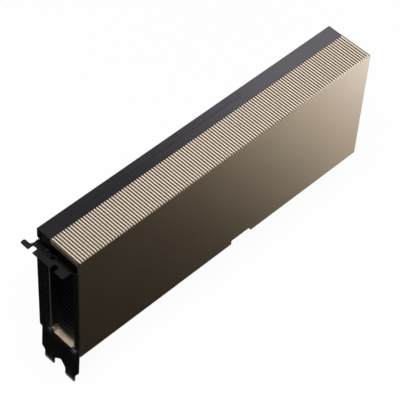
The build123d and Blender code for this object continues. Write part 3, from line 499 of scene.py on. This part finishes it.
# Memory stacks: thinned silicon in a dark moulding, a shade duller than the die
stackLook = {
    "name": "stackedMemorySilicon", "base": "#2c2c31", "metallic": 0.3, "roughness": (0.16, 0.24),
    "tones": ("#28282d", "#323237"), "drift": 8.0, "grit": 0.5, "relief": 0.02, "depth": 0.002,
}
dress(grainFinish(stackLook)[0], "memory_stacks")

# Inductors: pressed iron powder in a grey lacquer, matt and slightly speckled
powderLook = {
    "name": "pressedIronPowder", "base": "#4b4b4d", "metallic": 0.0, "roughness": (0.55, 0.70),
    "tones": ("#434345", "#545456"), "drift": 1.2, "grit": 0.4, "relief": 0.4, "depth": 0.04, "edge": 0.15,
}
dress(grainFinish(powderLook)[0], "inductors")

# Thermal pads: soft filled silicone, blue-grey, matt
padLook = {
    "name": "siliconeGapPad", "base": "#7f8794", "metallic": 0.0, "roughness": (0.55, 0.66),
    "tones": ("#777f8c", "#88909d"), "drift": 5.0, "grit": 0.5, "relief": 0.3, "depth": 0.03,
}
dress(grainFinish(padLook)[0], "inductor_pads")

# Power stages and controllers: transfer-moulded epoxy, near black, with a fine matt skin
epoxyLook = {
    "name": "mouldedChipEpoxy", "base": "#1b1b1c", "metallic": 0.0, "roughness": (0.44, 0.56),
    "tones": ("#171718", "#202021"), "drift": 4.0, "grit": 0.3, "relief": 0.3, "depth": 0.02, "edge": 0.08,
}
dress(grainFinish(epoxyLook)[0], "power_stages", "controller_chips")

# Tantalum capacitors: moulded ochre epoxy
tantalumLook = {
    "name": "tantalumEpoxyCase", "base": "#7a5a22", "metallic": 0.0, "roughness": (0.40, 0.52),
    "tones": ("#71531e", "#836227"), "drift": 3.0, "grit": 0.3, "relief": 0.2, "depth": 0.02, "edge": 0.10,
}
dress(grainFinish(tantalumLook)[0], "tantalum_capacitors")

# Power inlet: glass-filled nylon, injection moulded, black with a dry sheen
nylonLook = {
    "name": "blackFilledNylon", "base": "#161617", "metallic": 0.0, "roughness": (0.38, 0.50),
    "tones": ("#131314", "#1b1b1c"), "drift": 5.0, "grit": 0.4, "relief": 0.2, "depth": 0.02, "edge": 0.10,
}
dress(grainFinish(nylonLook)[0], "power_connector")

# Inlet pins: brass, tin plated, a soft warm grey
tinLook = {
    "name": "tinPlatedPins", "base": "#c9c4b6", "metallic": 1.0, "roughness": (0.22, 0.34),
    "tones": ("#c0bbad", "#d2cdbf"), "drift": 2.0, "grit": 0.2, "relief": 0.08, "depth": 0.005,
    "stretch": (0.1, 1, 1),
}
tinMaterial = grainFinish(tinLook)[0]
dress(tinMaterial, "power_pins")
print("finishes on", sum(len(node.data.materials) for node in nodes.values()), "nodes")


# Modelling helpers: faces or corners are picked by their place, and a finished piece joins the card

picking = {"level": 0.9, "flat": 0.99, "middle": 0.2, "reach": 0.02}   # two steepnesses, then mm
smoothAngle = math.radians(35)


def pickFaces(model, test):   # in edit mode, selects the faces whose middle and normal pass
    bpy.ops.mesh.select_all(action="DESELECT")
    bpy.ops.mesh.select_mode(type="FACE")
    mesh = bmesh.from_edit_mesh(model.data)
    for face in mesh.faces:
        face.select_set(bool(test(face.calc_center_median(), face.normal)))
    bmesh.update_edit_mesh(model.data)


def pickCorners(model, test):   # in edit mode, selects the corners that pass
    bpy.ops.mesh.select_all(action="DESELECT")
    bpy.ops.mesh.select_mode(type="VERT")
    mesh = bmesh.from_edit_mesh(model.data)
    for corner in mesh.verts:
        corner.select_set(bool(test(corner.co)))
    bmesh.update_edit_mesh(model.data)


def pickTopMiddle(model):   # the level face around the screw's axis
    widest = picking["middle"] * mm
    pickFaces(model, lambda middle, normal: normal.z > picking["flat"] and middle.xy.length < widest)


def closeModel(model):   # out of edit mode, with normals outward and only sharp bends left sharp
    bpy.ops.mesh.select_all(action="SELECT")
    bpy.ops.mesh.normals_make_consistent(inside=False)
    bpy.ops.object.mode_set(mode="OBJECT")
    bpy.ops.object.shade_smooth_by_angle(angle=smoothAngle)
    return model


def placeCopies(model, baseName, spots, outward, material, replaced):   # each copy has its own mesh
    turned = outward.to_track_quat("Z", "Y").to_matrix().to_4x4()
    for number, spot in enumerate(spots, 1):
        piece = model.copy()
        piece.data = model.data.copy()
        piece.name = piece.data.name = f"{baseName}{number}"
        scene.collection.objects.link(piece)
        piece.data.transform(Matrix.Translation(Vector(spot) * mm) @ turned)
        piece.data.materials.clear()
        piece.data.materials.append(material)
        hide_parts(replaced)
        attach(piece, "root")
    bpy.data.objects.remove(model)


socketShape = {   # counts, then mm, then degrees
    "sides": 48, "rimSteps": 3, "floorInset": 0.1, "tip": 0.25, "sixth": 60, "slack": 1,
}


def socketScrew(look):   # a screw along Z, its seat at 0: rounded head, hexagon socket and pointed shank
    bpy.ops.object.select_all(action="DESELECT")
    radius, height, sides = look["head"] * mm, look["height"] * mm, socketShape["sides"]
    if look["flat"]:
        sink = (look["head"] - look["shank"]) * mm
        bpy.ops.mesh.primitive_cone_add(
            vertices=sides, radius1=look["shank"] * mm, radius2=radius, depth=sink,
            location=(0, 0, -sink / 2))
        top, bottom = 0, -sink
    else:
        bpy.ops.mesh.primitive_cylinder_add(
            vertices=sides, radius=radius, depth=height, location=(0, 0, height / 2))
        top, bottom = height, 0
    model = bpy.context.object
    bpy.ops.object.transform_apply(location=True)
    bpy.ops.object.mode_set(mode="EDIT")
    pickFaces(model, lambda middle, normal: normal.z > picking["level"])
    bpy.ops.mesh.bevel(offset=look["rim"] * mm, segments=socketShape["rimSteps"], affect="EDGES")
    pickTopMiddle(model)
    bpy.ops.mesh.inset(thickness=radius - (look["rim"] + look["socket"]) * mm)
    lowest, widest = top - picking["reach"] * mm, (look["socket"] + picking["reach"]) * mm
    turnStep, sixth, half = 360 / sides, socketShape["sixth"], socketShape["sixth"] / 2
    for number in range(int(half / turnStep) + 1):   # the inset circle becomes a hexagon, angle by angle
        angle = turnStep * number
        fit = math.cos(math.radians(half)) / math.cos(math.radians(half) - math.radians(angle))
        pickCorners(model, lambda place: place.z > lowest and place.xy.length < widest and abs(
            abs((math.degrees(math.atan2(place.y, place.x)) + half) % sixth - half) - angle
        ) < socketShape["slack"])
        bpy.ops.transform.resize(value=(fit, fit, 1), center_override=(0, 0, top))
    pickTopMiddle(model)
    bpy.ops.mesh.extrude_region_move(TRANSFORM_OT_translate={"value": (0, 0, -look["deep"] * mm)})
    bpy.ops.mesh.inset(thickness=socketShape["floorInset"] * mm)
    underside = bottom + picking["reach"] / 2 * mm
    pickFaces(model, lambda middle, normal: normal.z < -picking["level"] and middle.z < underside)
    if not look["flat"]:
        bpy.ops.mesh.inset(thickness=radius - look["shank"] * mm)
    bpy.ops.mesh.extrude_region_move(TRANSFORM_OT_translate={"value": (0, 0, -look["length"] * mm - bottom)})
    bpy.ops.mesh.bevel(offset=socketShape["tip"] * mm, segments=1, affect="EDGES")
    return closeModel(model)


# Screws of the bracket, in the ears of its window
bracketScrew = {
    "head": 1.9, "height": 0.7, "rim": 0.22, "socket": 0.57, "deep": 0.42, "shank": 0.95, "length": 4.6,
    "flat": False, "spots": [(-58.01, -30.535, 14.8), (-58.01, -6.985, 14.8)],
}
placeCopies(
    socketScrew(bracketScrew), "bracketScrew", bracketScrew["spots"], Vector((-1, 0, 0)),
    oxideMaterial, "bracket_screws")

# Screws of the end plate, into the frame
endScrew = {
    "head": 1.8, "height": 0.7, "rim": 0.22, "socket": 0.57, "deep": 0.42, "shank": 0.95, "length": 6.0,
    "flat": False, "spots": [(209.75, -6.43, 21.0), (209.75, -6.43, 68.0)],
}
placeCopies(
    socketScrew(endScrew), "endPlateScrew", endScrew["spots"], Vector((1, 0, 0)),
    oxideMaterial, "end_plate_screws")

# Flat screws of the backplate
plateScrew = {
    "head": 1.9, "height": 0.0, "rim": 0.06, "socket": 0.57, "deep": 0.5, "shank": 0.95, "length": 6.3,
    "flat": True, "spots": [(x, 3.455, z) for x in (-44.0, 68.0, 183.15) for z in (15.45, 96.5)],
}
placeCopies(
    socketScrew(plateScrew), "backplateScrew", plateScrew["spots"], Vector((0, 1, 0)),
    oxideMaterial, "backplate_screws")

# Hexagon screws of the cooler, seen through the backplate's holes: chamfered head on a washer face
coolerScrew = {
    "head": 2.6, "height": 1.6, "chamfer": 0.28, "dimpleInset": 0.915, "dimpleWall": 0.3, "dimpleDepth": 0.25,
    "washer": 0.25, "washerInset": 0.25, "shankInset": 0.86, "length": 3.97,
    "spots": [(x, 0.785, z) for x in (34.0, 102.0) for z in (26.0, 86.0)],
}
bpy.ops.object.select_all(action="DESELECT")
depth = (coolerScrew["height"] - coolerScrew["washer"]) * mm
bpy.ops.mesh.primitive_cylinder_add(
    vertices=6, radius=coolerScrew["head"] * mm, depth=depth,
    location=(0, 0, coolerScrew["washer"] * mm + depth / 2))
model = bpy.context.object
bpy.ops.object.transform_apply(location=True)
bpy.ops.object.mode_set(mode="EDIT")
pickFaces(model, lambda middle, normal: normal.z > picking["level"])
bpy.ops.mesh.bevel(offset=coolerScrew["chamfer"] * mm, segments=2, affect="EDGES")
pickTopMiddle(model)
bpy.ops.mesh.inset(thickness=coolerScrew["dimpleInset"] * mm)
bpy.ops.mesh.inset(thickness=coolerScrew["dimpleWall"] * mm, depth=-coolerScrew["dimpleDepth"] * mm)
pickFaces(model, lambda middle, normal: normal.z < -picking["level"])
bpy.ops.mesh.inset(thickness=coolerScrew["washerInset"] * mm)
bpy.ops.mesh.extrude_region_move(TRANSFORM_OT_translate={"value": (0, 0, -coolerScrew["washer"] * mm)})
bpy.ops.mesh.inset(thickness=coolerScrew["shankInset"] * mm)
bpy.ops.mesh.extrude_region_move(TRANSFORM_OT_translate={"value": (0, 0, -coolerScrew["length"] * mm)})
placeCopies(
    closeModel(model), "coolerScrew", coolerScrew["spots"], Vector((0, 1, 0)),
    zincMaterial, "cooler_screws")
print("screws modelled")


# Coupling capacitors: fired ceramic blocks with tinned ends, in pairs above the contacts on the board's front
ceramicLook = {
    "name": "firedCeramicBody", "base": "#8a6a4c", "metallic": 0.0, "roughness": (0.36, 0.48),
    "tones": ("#7d5f43", "#967556"), "drift": 0.8, "grit": 0.15, "relief": 0.1, "depth": 0.01,
}
couplingCapacitor = {
    "length": 1.0, "width": 0.5, "height": 0.5, "cap": 0.25, "edge": 0.05, "reach": 0.01,
    "first": 6.5, "pairs": 16, "pairStep": 4.0, "inPair": 1.0, "middleHeight": 7.2, "face": -0.785,
}
bpy.ops.object.select_all(action="DESELECT")
bpy.ops.mesh.primitive_cube_add(size=1, location=(0, 0, couplingCapacitor["height"] / 2 * mm))
model = bpy.context.object
model.scale = [couplingCapacitor[k] * mm for k in ("width", "length", "height")]
bpy.ops.object.transform_apply(location=True, scale=True)
model.data.materials.append(grainFinish(ceramicLook)[0])
model.data.materials.append(tinMaterial)
bpy.ops.object.mode_set(mode="EDIT")
capStart = couplingCapacitor["length"] / 2 - couplingCapacitor["cap"]
for side in (-1, 1):   # each end is cut off by a plane and gets the tinned finish
    bpy.ops.mesh.select_all(action="SELECT")
    bpy.ops.mesh.bisect(plane_co=(0, side * capStart * mm, 0), plane_no=(0, 1, 0))
pickFaces(model, lambda middle, normal: abs(middle.y) > (capStart + couplingCapacitor["reach"]) * mm)
model.active_material_index = 1
bpy.ops.object.material_slot_assign()
bpy.ops.mesh.select_all(action="SELECT")
bpy.ops.mesh.select_mode(type="EDGE")
bpy.ops.mesh.bevel(offset=couplingCapacitor["edge"] * mm, segments=1, affect="EDGES", clamp_overlap=True)
bpy.ops.object.mode_set(mode="OBJECT")
turned = Matrix.Rotation(math.radians(90), 4, "X")
row = []
for number in range(2 * couplingCapacitor["pairs"]):
    pair, second = divmod(number, 2)
    x = couplingCapacitor["first"]
    x += couplingCapacitor["pairStep"] * pair + couplingCapacitor["inPair"] * second
    copy = model.copy()
    copy.data = model.data.copy()
    scene.collection.objects.link(copy)
    place = Vector((x, couplingCapacitor["face"], couplingCapacitor["middleHeight"])) * mm
    copy.data.transform(Matrix.Translation(place) @ turned)
    row.append(copy)
bpy.data.objects.remove(model)
bpy.ops.object.select_all(action="DESELECT")
for copy in row:
    copy.select_set(True)
bpy.context.view_layer.objects.active = row[0]
bpy.ops.object.join()
capacitors = bpy.context.object
capacitors.name = "couplingCapacitors"
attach(capacitors, "root")
print("capacitors placed")
